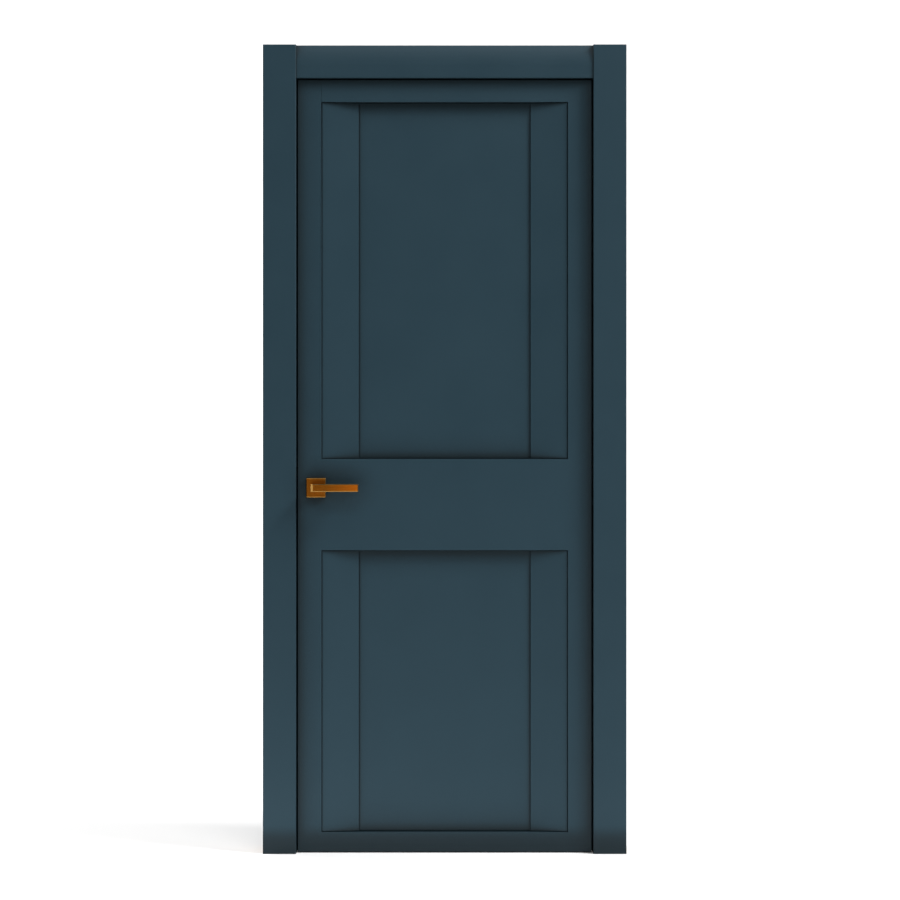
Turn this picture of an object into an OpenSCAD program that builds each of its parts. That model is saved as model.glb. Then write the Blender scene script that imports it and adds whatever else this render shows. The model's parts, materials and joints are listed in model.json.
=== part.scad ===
// Two-panel interior door in its frame, with casings for both faces of the wall.
// X runs across the door, Y from the front face towards the back, Z up.
// The origin is on the floor, in the middle of the leaf's width and thickness.

/* [Leaf] */
// Width of the leaf
leaf_w = 800; // [600:10:1000]
// Height of the leaf
leaf_h = 2100; // [1900:10:2400]
// Thickness of the leaf
leaf_t = 44; // [40:1:56]
// Space between the leaf and the floor
floor_gap = 3; // [2:0.5:15]
// Space between the leaf's edges and the jambs
leaf_gap = 3.5; // [3:0.5:6]
// Width of each stile
stile_w = 65; // [60:1:120]
// Height of the top rail
top_rail_h = 60; // [50:1:150]
// Height of the lock rail
lock_rail_h = 249; // [200:1:320]
// Height of the bottom rail
bottom_rail_h = 53.5; // [50:0.5:200]
// Height of the lower opening between the rails
lower_opening_h = 766.5; // [400:0.5:900]
// Depth of the grooves that hold the panels and the rails' tenons
groove_d = 10; // [6:1:14]

/* [Panels] */
// Depth of the flat panels below the leaf's faces
panel_depth = 14.5; // [11:0.5:16]
// Width of the wedge strips at the sides of each panel
strip_w = 101; // [40:1:140]
// Thickness of a wedge strip along the stile
strip_outer_t = 12; // [8:0.5:14]
// Thickness of a wedge strip along the panel
strip_inner_t = 3.5; // [1:0.5:7]

/* [Frame] */
// Depth of the jambs, which is the wall's thickness
jamb_depth = 75; // [70:1:160]
// Thickness of the stops that the leaf closes against
stop_w = 12; // [10:1:20]
// Space for the seal between the leaf's back and the stop
seal_gap = 4; // [3:0.5:6]
// Width of the seal's stem in its groove
seal_stem_w = 3; // [2:0.5:4]
// Depth of the seal's groove
seal_stem_l = 6; // [4:0.5:10]
// Radius of the hollow in the seal's bulb
seal_hollow_r = 1.2; // [0.6:0.1:1.3]
// Wood left behind the hinge bodies
jamb_back = 8.5; // [8:0.5:20]
// Distance of the outer wall fixings from the floor and from the head
fixing_inset = 180; // [150:10:300]
// Radius of the wall fixing holes
fixing_r = 4; // [2.5:0.5:5]
// Distance of the wall fixings behind the leaf's middle
fixing_y = 15; // [13:0.5:17]

/* [Casings] */
// Width of the casings
casing_w = 90; // [60:1:140]
// Thickness of the side casings
casing_t = 16; // [12:0.5:20]
// Radius of the side casings' front edges
casing_r = 2; // [1:0.5:5]
// How far the head casing lies behind the side casings
head_setback = 3; // [0:0.5:4]
// Height of the flat lower part of the head casing
head_flat_h = 36; // [20:1:50]
// Radius of the head casing's rounded upper part
head_curve_r = 160; // [150:5:600]
// Thickness of the tongue that slides into the jamb
tongue_t = 6; // [4:0.5:7]
// Length of that tongue
tongue_l = 12; // [6:1:16]

/* [Hinges] */
// Distance of the outer hinges from the leaf's ends
hinge_inset = 260; // [200:5:400]
// Distance of the hinge axis in front of the leaf's face
pivot_ahead = 6; // [4:0.5:8]
// Radius of the curved hinge arms
arm_r = 30; // [28:0.5:32]
// Thickness of the hinge arms
arm_t = 6; // [4:0.5:8]
// Height of one hinge arm
arm_h = 26; // [18:1:32]
// Space between the two arms of a hinge
arm_space = 8; // [5:0.5:16]
// Angle that an arm reaches into each hinge body, in degrees
arm_reach = 58; // [55:1:60]
// Angle left free behind the end of an arm, in degrees
track_end = 2; // [1:0.5:4]
// Wall of the hinge bodies round the arms' tracks
cup_wall = 1.5; // [1:0.25:3]
// Length of a hinge body above and below the arms
cup_end = 10; // [6:1:16]
// Radius of the hinge bodies' corners
cup_corner_r = 4; // [1:0.5:6]
// Length of the screw plate above and below a hinge body
plate_end = 30; // [26:1:40]
// Thickness of the hinge plates, the lock's forend and the strike plate
plate_t = 3; // [2.5:0.25:4]

/* [Screws] */
// Length of the hinge, lock and strike screws
screw_l = 30; // [16:1:34]
// Radius of the screws' shanks
screw_r = 2; // [1.5:0.25:2.5]
// Radius of the screws' heads
screw_head_r = 3.6; // [3:0.2:4.2]
// Height of the screws' heads
screw_head_h = 1.8; // [1.2:0.1:2.2]
// Distance between the two screws at each end of a hinge plate
screw_pitch = 13; // [10:0.5:15]
// Length of the screws in the frame's corners
corner_screw_l = 80; // [60:5:120]
// Distance of those screws from the casings' tongues
corner_screw_inset = 12; // [8:1:16]

/* [Handle] */
// Distance of the spindle from the leaf's lock edge
backset = 50; // [45:1:60]
// Distance of the spindle below the lock rail's upper edge
handle_drop = 78.5; // [74:0.5:95]
// Width and height of the rosettes
rosette_w = 53; // [48:1:60]
// Thickness of the rosettes
rosette_t = 9; // [8:0.5:12]
// Radius of the rosettes' corners
rosette_r = 3; // [2:0.5:8]
// Bevel round the face of the rosettes
rosette_bevel = 1.8; // [0.5:0.1:2]
// Wall of the rosette covers
cover_wall = 2; // [1.2:0.1:3]
// Length of a lever
lever_l = 128.5; // [110:0.5:150]
// Distance of a lever's short end beyond the spindle's axis
lever_tail = 11.5; // [11:0.5:16]
// Height of a lever
lever_h = 20.5; // [20.5:0.5:28]
// Thickness of a lever's grip
lever_t = 10; // [8:0.5:14]
// Distance of a lever's front from the leaf's face
lever_reach = 50; // [45:1:60]
// Width of the neck between rosette and grip
neck_w = 23; // [22:0.5:30]
// Space between the neck and the rosette
neck_clear = 1; // [0.5:0.25:2]
// Bevel at the outer corner of the neck
lever_corner = 6; // [3:0.5:8]
// Bevel along a lever's other edges
lever_bevel = 2; // [0.5:0.1:2]
// Radius of the inner corner between neck and grip
lever_fillet = 6; // [2:0.5:10]
// Radius of a lever's round collar in its rosette
collar_r = 10; // [8:0.5:11]
// Width of the square spindle
spindle_w = 8; // [7:0.5:9]
// Depth of the spindle in each lever, from the leaf's face
spindle_reach = 30; // [24:1:34]
// Radius of the grub screws
grub_r = 2.5; // [2:0.25:3]
// Distance between the two bolts that hold the rosettes together
rosette_pitch = 38; // [34:0.5:40]
// Radius of those bolts
rosette_bolt_r = 2; // [1.5:0.25:2.5]
// Radius of the rosettes' bosses in the leaf
boss_r = 12.5; // [12:0.25:13.5]
// Length of those bosses
boss_l = 6; // [3:0.5:8]

/* [Lock] */
// Thickness of the latch bolt
bolt_t = 12; // [10:0.5:14]
// Height of the latch bolt
bolt_h = 24; // [18:1:26]
// Length of the latch bolt's head
bolt_l = 26; // [22:1:30]
// Bevel of the latch bolt's front corners
bolt_bevel = 2; // [0.5:0.5:3]
// Length of the latch bolt's tail
bolt_tail_l = 14; // [8:1:16]
// Height of the latch bolt's tail
bolt_tail_h = 12; // [8:1:14]
// Thickness of the latch bolt's tail
bolt_tail_t = 6; // [4:0.5:8]
// Height of the latch bolt above the spindle
bolt_rise = 42; // [38:1:46]
// How deep the latch bolt lies behind the forend's face when it is drawn in
bolt_inset = 0.5; // [0.3:0.1:1]
// How far the latch bolt slides out
bolt_travel = 10; // [6:0.5:12]
// Wall of the lock case
case_wall = 1.2; // [1:0.1:2]
// Height of the lock case above the spindle
case_up = 62; // [60:1:66]
// Height of the lock case below the spindle
case_down = 80; // [60:1:100]
// Depth of the lock case behind the spindle
case_behind = 28; // [22:1:40]
// Radius of the follower that the spindle turns
follower_r = 9; // [8:0.5:10]
// Width of the follower's cam
cam_w = 9; // [6:0.5:12]
// Space between the follower's cam and the latch bolt's tail
cam_gap = 2; // [1:0.5:4]
// Width of the forend and the strike plate
forend_w = 22; // [20:0.5:24]
// Length of the forend beyond the lock case, at each end
forend_end = 24; // [16:1:30]
// Space round the latch bolt in the strike plate
strike_play = 2; // [1:0.25:2.5]
// Length of the strike plate above and below its opening
strike_end = 34; // [26:1:44]
// Wall of the strike box
strike_wall = 1.5; // [1:0.25:2]
// Thickness of the magnet in the strike box
magnet_t = 5; // [3:0.5:6]
// Space between the magnet and the latch bolt when it is out
magnet_gap = 6.5; // [4:0.5:8]

/* [Fits] */
// Clearance between fixed pieces
fit = 0.1; // [0.05:0.01:0.2]
// Clearance between moving pieces
run = 0.3; // [0.2:0.05:0.4]

/* [Hidden] */
$fn = 64;
overcut = 1;
track_mouth = 25;

// Planes of the leaf and the frame
half_w = leaf_w / 2;
front_y = -leaf_t / 2;
back_y = leaf_t / 2;
leaf_bottom = floor_gap;
leaf_top = floor_gap + leaf_h;
rebate_x = half_w + leaf_gap;
rebate_z = leaf_top + leaf_gap;
rebate_d = leaf_t + seal_gap;
frame_mid_y = front_y + jamb_depth / 2;
casing_top = rebate_z + casing_w;

// Openings of the leaf and the panels in them
opening_w = leaf_w - 2 * stile_w;
lower_z0 = leaf_bottom + bottom_rail_h;
lower_z1 = lower_z0 + lower_opening_h;
upper_z0 = lower_z1 + lock_rail_h;
upper_z1 = leaf_top - top_rail_h;
panel_t = leaf_t - 2 * panel_depth;
panel_edge = groove_d - fit;

// Hinges
hinge_x = half_w + leaf_gap / 2;
hinge_y = front_y - pivot_ahead;
hinge_z0 = leaf_bottom + hinge_inset;
hinge_z2 = leaf_top - hinge_inset;
hinge_z1 = (hinge_z0 + hinge_z2) / 2;
HINGE_Z = [hinge_z0, hinge_z1, hinge_z2];
arm_in = arm_r - arm_t / 2;
arm_out = arm_r + arm_t / 2;
track_reach = arm_reach + track_end;
cup_y0 = hinge_y + (arm_in - run) * cos(track_reach) - cup_wall;
cup_y1 = hinge_y + arm_out + run + cup_wall;
cup_w = cup_y1 - cup_y0;
cup_mid_y = (cup_y0 + cup_y1) / 2;
cup_l = 2 * arm_h + arm_space + 2 * cup_end;
cup_d = (arm_out + run) * sin(track_reach) - leaf_gap / 2 + cup_wall;
hinge_plate_l = cup_l + 2 * plate_end;
plate_mid = (cup_l + plate_end) / 2;
HINGE_SCREW_Z = [for (side = [-1, 1], end = [-1, 1]) side * plate_mid + end * screw_pitch / 2];
jamb_t = cup_d + jamb_back;
jamb_top = rebate_z + jamb_t;

// Handle and lock
handle_x = backset - half_w;
handle_z = upper_z0 - handle_drop;
bolt_z = handle_z + bolt_rise;
case_t = bolt_t + 2 * run + 2 * case_wall;
case_x0 = plate_t - half_w;
case_x1 = handle_x + case_behind;
case_z0 = handle_z - case_down;
case_z1 = handle_z + case_up;
forend_l = case_up + case_down + 2 * forend_end;
forend_mid_z = (case_z0 + case_z1) / 2;
FOREND_SCREW_Z = [for (side = [-1, 1]) forend_mid_z + side * (forend_l - forend_end) / 2];
strike_open_t = bolt_t + 2 * strike_play;
strike_open_h = bolt_h + 2 * strike_play;
strike_l = strike_open_h + 2 * strike_end;
bolt_depth = bolt_travel - bolt_inset - leaf_gap - plate_t;
strike_d = bolt_depth + magnet_gap + magnet_t + strike_wall;
STRIKE_SCREW_Z = [for (side = [-1, 1]) bolt_z + side * (strike_l - strike_end + strike_wall) / 2];
base_w = rosette_w - 2 * cover_wall - 2 * fit;
base_t = rosette_t - cover_wall - fit;

// Wall fixings and corner screws
fixing_step = (rebate_z - 2 * fixing_inset) / 3;
FIXING_Z = [for (i = [0:3]) fixing_inset + i * fixing_step];
corner_screw_v = tongue_l + corner_screw_inset;
CORNER_SCREW_Y = [front_y + corner_screw_v, front_y + jamb_depth - corner_screw_v];

// Colours
PAINT = "#2e414b";
BRONZE = "#a5591c";
STEEL = "#b4b7b8";
RUBBER = "#24282a";

// Box between two corners
module slab(low, high) {
    translate(low) cube(high - low);
}

// Turns an upright extrusion along X: its X becomes Y and its Y becomes Z
module along_x() {
    rotate([90, 0, 90]) children();
}

// Turns an upright extrusion along -Y: its Y becomes Z
module along_y() {
    rotate([90, 0, 0]) children();
}

// Swaps the two directions of a section
module swapped() {
    mirror([1, -1, 0]) children();
}

// Copy for the lock side, made from the hinge side
module lock_side() {
    mirror([1, 0, 0]) children();
}

// Copy for the leaf's back, made from its front
module leaf_back() {
    mirror([0, 1, 0]) children();
}

// Copy for the frame's back, made from its front
module frame_back() {
    translate([0, 2 * frame_mid_y, 0]) mirror([0, 1, 0]) children();
}

// Copy for the leaf's hinge edge, made from the jamb's
module leaf_edge() {
    translate([2 * hinge_x, 0, 0]) mirror([1, 0, 0]) children();
}

// Rectangle with round corners, about its middle
module round_rect(w, h, r) {
    square([w - 2 * r, h], center = true);
    square([w, h - 2 * r], center = true);
    for (x = [-1, 1], y = [-1, 1])
        translate([x * (w / 2 - r), y * (h / 2 - r)]) circle(r);
}

// Plate outline with half-round ends, about its middle
module stadium(w, l) {
    square([w, l - w], center = true);
    for (y = [-1, 1]) translate([0, y * (l - w) / 2]) circle(d = w);
}

// Wood screw along +X with its head's face at X = 0, grown by a clearance for its hole
module screw(clear = 0, length = screw_l) {
    rotate([0, 90, 0]) cylinder(r = screw_head_r + clear, h = screw_head_h + clear);
    rotate([0, 90, 0]) cylinder(r = screw_r + clear, h = length + clear);
}

// Frame

// Section of a jamb: outwards from the rebate's face, and back from the front face
module jamb_section() {
    seat = jamb_t - tongue_t;
    polygon([
        [0, 0],
        [seat, 0],
        [seat, tongue_l],
        [jamb_t, tongue_l],
        [jamb_t, jamb_depth - tongue_l],
        [seat, jamb_depth - tongue_l],
        [seat, jamb_depth],
        [0, jamb_depth]
    ]);
}

// Section of a stop, planted on the jamb behind the leaf, with the seal's groove in its front
module stop_section() {
    seal_u = -stop_w / 2;
    polygon([
        [0, rebate_d],
        [0, jamb_depth],
        [-stop_w, jamb_depth],
        [-stop_w, rebate_d],
        [seal_u - seal_stem_w / 2, rebate_d],
        [seal_u - seal_stem_w / 2, rebate_d + seal_stem_l],
        [seal_u + seal_stem_w / 2, rebate_d + seal_stem_l],
        [seal_u + seal_stem_w / 2, rebate_d]
    ]);
}

// Side jamb on the hinge side
module side_jamb() {
    difference() {
        translate([rebate_x, front_y, 0]) linear_extrude(jamb_top) jamb_section();
        for (z = FIXING_Z)
            translate([rebate_x - overcut, fixing_y, z]) rotate([0, 90, 0])
                cylinder(r = fixing_r, h = jamb_t + 2 * overcut);
        corner_screws(fit);
    }
}

// The two screws from the hinge jamb into the head jamb
module corner_screws(clear = 0) {
    for (y = CORNER_SCREW_Y)
        translate([rebate_x + jamb_t, y, rebate_z + jamb_t / 2]) mirror([1, 0, 0])
            screw(clear, corner_screw_l);
}

module strike_jamb() {
    color(PAINT) difference() {
        lock_side() side_jamb();
        strike_pocket();
    }
}

module hinge_jamb() {
    color(PAINT) difference() {
        side_jamb();
        for (z = HINGE_Z) hinge_pocket(z);
    }
}

module head_jamb() {
    color(PAINT) difference() {
        translate([-rebate_x, front_y, rebate_z]) along_x() linear_extrude(2 * rebate_x)
            swapped() jamb_section();
        corner_screws(fit);
        lock_side() corner_screws(fit);
    }
}

// Stop of the hinge side, which ends under the head's stop
module hinge_stop() {
    color(PAINT) translate([rebate_x, front_y, 0])
        linear_extrude(rebate_z - stop_w) stop_section();
}

module strike_stop() {
    color(PAINT) lock_side() hinge_stop();
}

module head_stop() {
    color(PAINT) translate([-rebate_x, front_y, rebate_z]) along_x()
        linear_extrude(2 * rebate_x) swapped() stop_section();
}

module jamb_corner_screws() {
    color(STEEL) {
        corner_screws();
        lock_side() corner_screws();
    }
}

// Section of the bulb seal: a stem in the stop's groove and a half-round hollow bulb
module seal_section() {
    bulb_r = seal_gap - run;
    translate([-stop_w / 2, rebate_d]) {
        translate([-seal_stem_w / 2 + fit, 0])
            square([seal_stem_w - 2 * fit, seal_stem_l - fit]);
        difference() {
            circle(bulb_r);
            translate([-bulb_r - overcut, 0]) square(2 * (bulb_r + overcut));
            translate([0, -bulb_r / 2]) circle(seal_hollow_r);
        }
    }
}

module hinge_seal() {
    color(RUBBER) translate([rebate_x, front_y, 0])
        linear_extrude(rebate_z - stop_w) seal_section();
}

module strike_seal() {
    color(RUBBER) lock_side() hinge_seal();
}

module head_seal() {
    color(RUBBER) translate([-rebate_x, front_y, rebate_z]) along_x()
        linear_extrude(2 * rebate_x) swapped() seal_section();
}

// Side casing of the front, on the hinge side: a board with round front edges and a tongue
module side_casing() {
    translate([rebate_x, front_y, 0]) {
        linear_extrude(casing_top) {
            translate([casing_r, -casing_t]) square([casing_w - 2 * casing_r, casing_t]);
            translate([0, casing_r - casing_t]) square([casing_w, casing_t - casing_r]);
            for (u = [casing_r, casing_w - casing_r])
                translate([u, casing_r - casing_t]) circle(casing_r);
        }
        linear_extrude(jamb_top) tongue_section();
    }
}

// Section of a casing's tongue beside the jamb
module tongue_section() {
    translate([jamb_t - tongue_t + fit, -overcut])
        square([tongue_t - fit, tongue_l - fit + overcut]);
}

// Head casing of the front: flat below, and rounded back above
module head_casing() {
    face = head_setback - casing_t;
    translate([-rebate_x, front_y, rebate_z]) along_x() {
        linear_extrude(2 * rebate_x) difference() {
            translate([face, 0]) square([-face, casing_w]);
            difference() {
                translate([face - overcut, head_flat_h]) square([overcut - face, casing_w]);
                translate([face + head_curve_r, head_flat_h]) circle(head_curve_r, $fn = 360);
            }
        }
        linear_extrude(2 * rebate_x) swapped() tongue_section();
    }
}

module front_hinge_casing() {
    color(PAINT) side_casing();
}

module front_strike_casing() {
    color(PAINT) lock_side() side_casing();
}

module front_head_casing() {
    color(PAINT) head_casing();
}

module back_hinge_casing() {
    color(PAINT) frame_back() side_casing();
}

module back_strike_casing() {
    color(PAINT) frame_back() lock_side() side_casing();
}

module back_head_casing() {
    color(PAINT) frame_back() head_casing();
}

// Strike

// Strike plate's outline and box, grown by a clearance for their pocket
module strike_plate_solid(clear = 0) {
    translate([-rebate_x - plate_t - clear, 0, bolt_z]) along_x()
        linear_extrude(plate_t + clear) stadium(forend_w + 2 * clear, strike_l + 2 * clear);
}

module strike_box_solid(clear = 0) {
    half_t = strike_open_t / 2 + strike_wall + clear;
    half_h = strike_open_h / 2 + strike_wall + clear;
    slab(
        [-rebate_x - plate_t - strike_d - clear, -half_t, bolt_z - half_h],
        [-rebate_x - plate_t, half_t, bolt_z + half_h]
    );
}

// The opening that the latch bolt enters, from the jamb's face to a depth behind the plate
module strike_opening(depth) {
    slab(
        [-rebate_x - plate_t - depth, -strike_open_t / 2, bolt_z - strike_open_h / 2],
        [-rebate_x + overcut, strike_open_t / 2, bolt_z + strike_open_h / 2]
    );
}

module strike_screw_set(clear = 0) {
    for (z = STRIKE_SCREW_Z)
        translate([-rebate_x, 0, z]) mirror([1, 0, 0]) screw(clear);
}

module strike_pocket() {
    translate([overcut, 0, 0]) strike_plate_solid(fit);
    strike_plate_solid(fit);
    strike_box_solid(fit);
    strike_screw_set(fit);
}

module strike_plate() {
    color(BRONZE) difference() {
        strike_plate_solid();
        strike_opening(overcut);
        strike_screw_set(fit);
    }
}

module strike_box() {
    color(RUBBER) difference() {
        strike_box_solid();
        strike_opening(strike_d - strike_wall);
    }
}

module strike_magnet() {
    back_x = -rebate_x - plate_t - strike_d + strike_wall;
    half_t = strike_open_t / 2 - fit;
    half_h = strike_open_h / 2 - fit;
    color(STEEL) slab([back_x, -half_t, bolt_z - half_h], [back_x + magnet_t, half_t, bolt_z + half_h]);
}

module strike_screws() {
    color(BRONZE) strike_screw_set();
}

// Hinges

// Plate and cup of a hinge body in the jamb, grown by a clearance for its pocket
module hinge_body_solid(z, clear = 0) {
    translate([rebate_x, cup_mid_y, z]) along_x() {
        linear_extrude(plate_t + clear) stadium(cup_w + 2 * clear, hinge_plate_l + 2 * clear);
        linear_extrude(cup_d + clear) round_rect(cup_w + 2 * clear, cup_l + 2 * clear, cup_corner_r);
    }
}

module hinge_screw_set(z, clear = 0) {
    for (dz = HINGE_SCREW_Z) translate([rebate_x, cup_mid_y, z + dz]) screw(clear);
}

module hinge_pocket(z) {
    translate([-overcut, 0, 0]) hinge_body_solid(z, fit);
    hinge_body_solid(z, fit);
    hinge_screw_set(z, fit);
}

// Curved bars about the hinge axis, one for each arm, from one angle to another off +Y
module hinge_arcs(z, from_angle, to_angle, clear = 0) {
    for (side = [-1, 1])
        translate([hinge_x, hinge_y, z + side * (arm_h + arm_space) / 2 - arm_h / 2 - clear])
            rotate([0, 0, 90 - to_angle]) rotate_extrude(angle = to_angle - from_angle)
                translate([arm_in - clear, 0]) square([arm_t + 2 * clear, arm_h + 2 * clear]);
}

module jamb_hinge(z) {
    color(STEEL) difference() {
        hinge_body_solid(z);
        hinge_arcs(z, -track_mouth, track_reach, run);
        hinge_screw_set(z, fit);
    }
}

module leaf_hinge(z) {
    leaf_edge() jamb_hinge(z);
}

module hinge_arms(z) {
    color(STEEL) hinge_arcs(z, -arm_reach, arm_reach);
}

module jamb_hinge_screws() {
    color(STEEL) for (z = HINGE_Z) hinge_screw_set(z);
}

module leaf_hinge_screws() {
    leaf_edge() jamb_hinge_screws();
}

// Leaf

// Stile of the hinge side, with the groove along its inner edge
module stile() {
    difference() {
        slab([half_w - stile_w, front_y, leaf_bottom], [half_w, back_y, leaf_top]);
        slab(
            [half_w - stile_w - overcut, -panel_t / 2 - fit, leaf_bottom - overcut],
            [half_w - stile_w + groove_d, panel_t / 2 + fit, leaf_top + overcut]
        );
    }
}

module hinge_stile() {
    color(PAINT) difference() {
        stile();
        leaf_edge() for (z = HINGE_Z) hinge_pocket(z);
    }
}

module lock_stile() {
    color(PAINT) difference() {
        lock_side() stile();
        lock_mortise();
    }
}

// Groove along a rail's edge, from one height to another
module rail_groove(z0, z1) {
    slab([-half_w, -panel_t / 2 - fit, z0], [half_w, panel_t / 2 + fit, z1]);
}

// Rail between the stiles, with a stub tenon at each end
module rail(z0, z1) {
    slab([-opening_w / 2, front_y, z0], [opening_w / 2, back_y, z1]);
    slab([-opening_w / 2 - panel_edge, -panel_t / 2, z0], [opening_w / 2 + panel_edge, panel_t / 2, z1]);
}

module top_rail() {
    color(PAINT) difference() {
        rail(upper_z1, leaf_top);
        rail_groove(upper_z1 - overcut, upper_z1 + groove_d);
    }
}

module lock_rail() {
    color(PAINT) difference() {
        rail(lower_z1, upper_z0);
        rail_groove(lower_z1 - overcut, lower_z1 + groove_d);
        rail_groove(upper_z0 - groove_d, upper_z0 + overcut);
        lock_mortise();
    }
}

module bottom_rail() {
    color(PAINT) difference() {
        rail(leaf_bottom, lower_z0);
        rail_groove(lower_z0 - groove_d, lower_z0 + overcut);
    }
}

// Flat panel whose edges lie in the grooves round an opening
module panel(z0, z1) {
    color(PAINT) slab(
        [-opening_w / 2 - panel_edge, -panel_t / 2, z0 - panel_edge],
        [opening_w / 2 + panel_edge, panel_t / 2, z1 + panel_edge]
    );
}

// Wedge strip of the front on the hinge side, thick at the stile and thin at the panel
module strip(z0, z1) {
    color(PAINT) translate([opening_w / 2, -panel_t / 2, z0]) linear_extrude(z1 - z0)
        polygon([[0, 0], [0, -strip_outer_t], [-strip_w, -strip_inner_t], [-strip_w, 0]]);
}

// Lock

// Square bar along Y through the spindle's axis
module spindle_bar(w, y0, y1) {
    slab([handle_x - w / 2, y0, handle_z - w / 2], [handle_x + w / 2, y1, handle_z + w / 2]);
}

// Round bar along Y, beside or on the spindle's axis
module handle_round(r, y0, y1, dx = 0) {
    translate([handle_x + dx, y1, handle_z]) along_y() cylinder(r = r, h = y1 - y0);
}

module forend_solid(clear = 0) {
    translate([-half_w, 0, forend_mid_z]) along_x()
        linear_extrude(plate_t + clear) stadium(forend_w + 2 * clear, forend_l + 2 * clear);
}

module case_solid(clear = 0) {
    slab(
        [case_x0, -case_t / 2 - clear, case_z0 - clear],
        [case_x1 + clear, case_t / 2 + clear, case_z1 + clear]
    );
}

module forend_screw_set(clear = 0) {
    for (z = FOREND_SCREW_Z) translate([-half_w, 0, z]) screw(clear);
}

// Window for the latch bolt, through the forend and the case's front wall
module bolt_window() {
    slab(
        [-half_w - overcut, -bolt_t / 2 - run, bolt_z - bolt_h / 2 - run],
        [case_x0 + 2 * case_wall, bolt_t / 2 + run, bolt_z + bolt_h / 2 + run]
    );
}

module rosette_bolt_set(half_l, clear = 0) {
    for (side = [-1, 1])
        handle_round(rosette_bolt_r + clear, -half_l, half_l, side * rosette_pitch / 2);
}

// Everything cut out of the leaf for the lock and the handle
module lock_mortise() {
    translate([-overcut, 0, 0]) forend_solid(fit);
    forend_solid(fit);
    case_solid(fit);
    forend_screw_set(fit);
    handle_round(boss_r + fit, front_y - overcut, back_y + overcut);
    rosette_bolt_set(back_y + overcut, fit);
}

module lock_case() {
    inner_y = case_t / 2 - case_wall;
    color(STEEL) difference() {
        case_solid();
        slab(
            [case_x0 + case_wall, -inner_y, case_z0 + case_wall],
            [case_x1 - case_wall, inner_y, case_z1 - case_wall]
        );
        bolt_window();
        handle_round(follower_r + run, -case_t, case_t);
        rosette_bolt_set(case_t, fit);
    }
}

module lock_forend() {
    color(BRONZE) difference() {
        forend_solid();
        bolt_window();
        forend_screw_set(fit);
    }
}

module lock_screws() {
    color(BRONZE) forend_screw_set();
}

// Latch bolt drawn into the lock, with bevelled front corners and a thinner tail
module latch_bolt() {
    tip_x = bolt_inset - half_w;
    color(STEEL) {
        translate([tip_x, 0, bolt_z - bolt_h / 2]) linear_extrude(bolt_h) polygon([
            [0, bolt_bevel - bolt_t / 2],
            [bolt_bevel, -bolt_t / 2],
            [bolt_l, -bolt_t / 2],
            [bolt_l, bolt_t / 2],
            [bolt_bevel, bolt_t / 2],
            [0, bolt_t / 2 - bolt_bevel]
        ]);
        slab(
            [tip_x + bolt_l - overcut, -bolt_tail_t / 2, bolt_z - bolt_tail_h / 2],
            [tip_x + bolt_l + bolt_tail_l, bolt_tail_t / 2, bolt_z + bolt_tail_h / 2]
        );
    }
}

// Round follower with a short cam that points up to the latch bolt's tail
module lock_follower() {
    half_t = case_t / 2 - run;
    cam_t = case_t / 2 - case_wall - run;
    cam_top = bolt_rise - bolt_tail_h / 2 - cam_gap;
    color(STEEL) difference() {
        union() {
            handle_round(follower_r, -half_t, half_t);
            slab(
                [handle_x - cam_w / 2, -cam_t, handle_z],
                [handle_x + cam_w / 2, cam_t, handle_z + cam_top]
            );
        }
        spindle_bar(spindle_w + 2 * fit, -case_t, case_t);
    }
}

// Handle

// Square block on the leaf's front face with round corners and a bevelled face
module rosette_block(w, t) {
    bevel_box = [
        [-w / 2, overcut], [-w / 2, rosette_bevel - t], [rosette_bevel - w / 2, -t],
        [w / 2 - rosette_bevel, -t], [w / 2, rosette_bevel - t], [w / 2, overcut]
    ];
    translate([handle_x, front_y, handle_z]) intersection() {
        along_y() linear_extrude(t) round_rect(w, w, rosette_r);
        translate([0, 0, -w / 2]) linear_extrude(w) polygon(bevel_box);
        translate([-w / 2, 0, 0]) along_x() linear_extrude(w) swapped() polygon(bevel_box);
    }
}

module rosette_base() {
    color(STEEL) difference() {
        union() {
            translate([handle_x, front_y, handle_z]) along_y()
                linear_extrude(base_t) round_rect(base_w, base_w, rosette_r);
            handle_round(boss_r, front_y - overcut, front_y + boss_l);
        }
        handle_round(collar_r + run, front_y - rosette_t, 0);
        rosette_bolt_set(back_y + rosette_t, fit);
    }
}

module rosette_cover() {
    color(BRONZE) difference() {
        rosette_block(rosette_w, rosette_t);
        translate([handle_x, front_y + overcut, handle_z]) along_y()
            linear_extrude(base_t + fit + overcut) round_rect(base_w + 2 * fit, base_w + 2 * fit, rosette_r);
        handle_round(collar_r + run, front_y - rosette_t - overcut, front_y);
    }
}

// Outline of a lever seen from above: along the grip, and out from the leaf's face
module lever_outline() {
    right = lever_l - lever_tail;
    grip = lever_reach - lever_t;
    neck_x = neck_w - lever_tail;
    polygon([
        [-lever_tail, rosette_t + neck_clear],
        [neck_x, rosette_t + neck_clear],
        [neck_x, grip],
        [right - lever_bevel, grip],
        [right, grip + lever_bevel],
        [right, lever_reach - lever_bevel],
        [right - lever_bevel, lever_reach],
        [lever_corner - lever_tail, lever_reach],
        [-lever_tail, lever_reach - lever_corner]
    ]);
    difference() {
        translate([neck_x - overcut, grip - lever_fillet]) square(lever_fillet + overcut);
        translate([neck_x + lever_fillet, grip - lever_fillet]) circle(lever_fillet);
    }
}

// End view of a lever: out from the leaf's face, and up
module lever_end() {
    half_h = lever_h / 2;
    polygon([
        [0, -half_h],
        [lever_reach - lever_bevel, -half_h],
        [lever_reach, lever_bevel - half_h],
        [lever_reach, half_h - lever_bevel],
        [lever_reach - lever_bevel, half_h],
        [0, half_h]
    ]);
}

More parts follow.
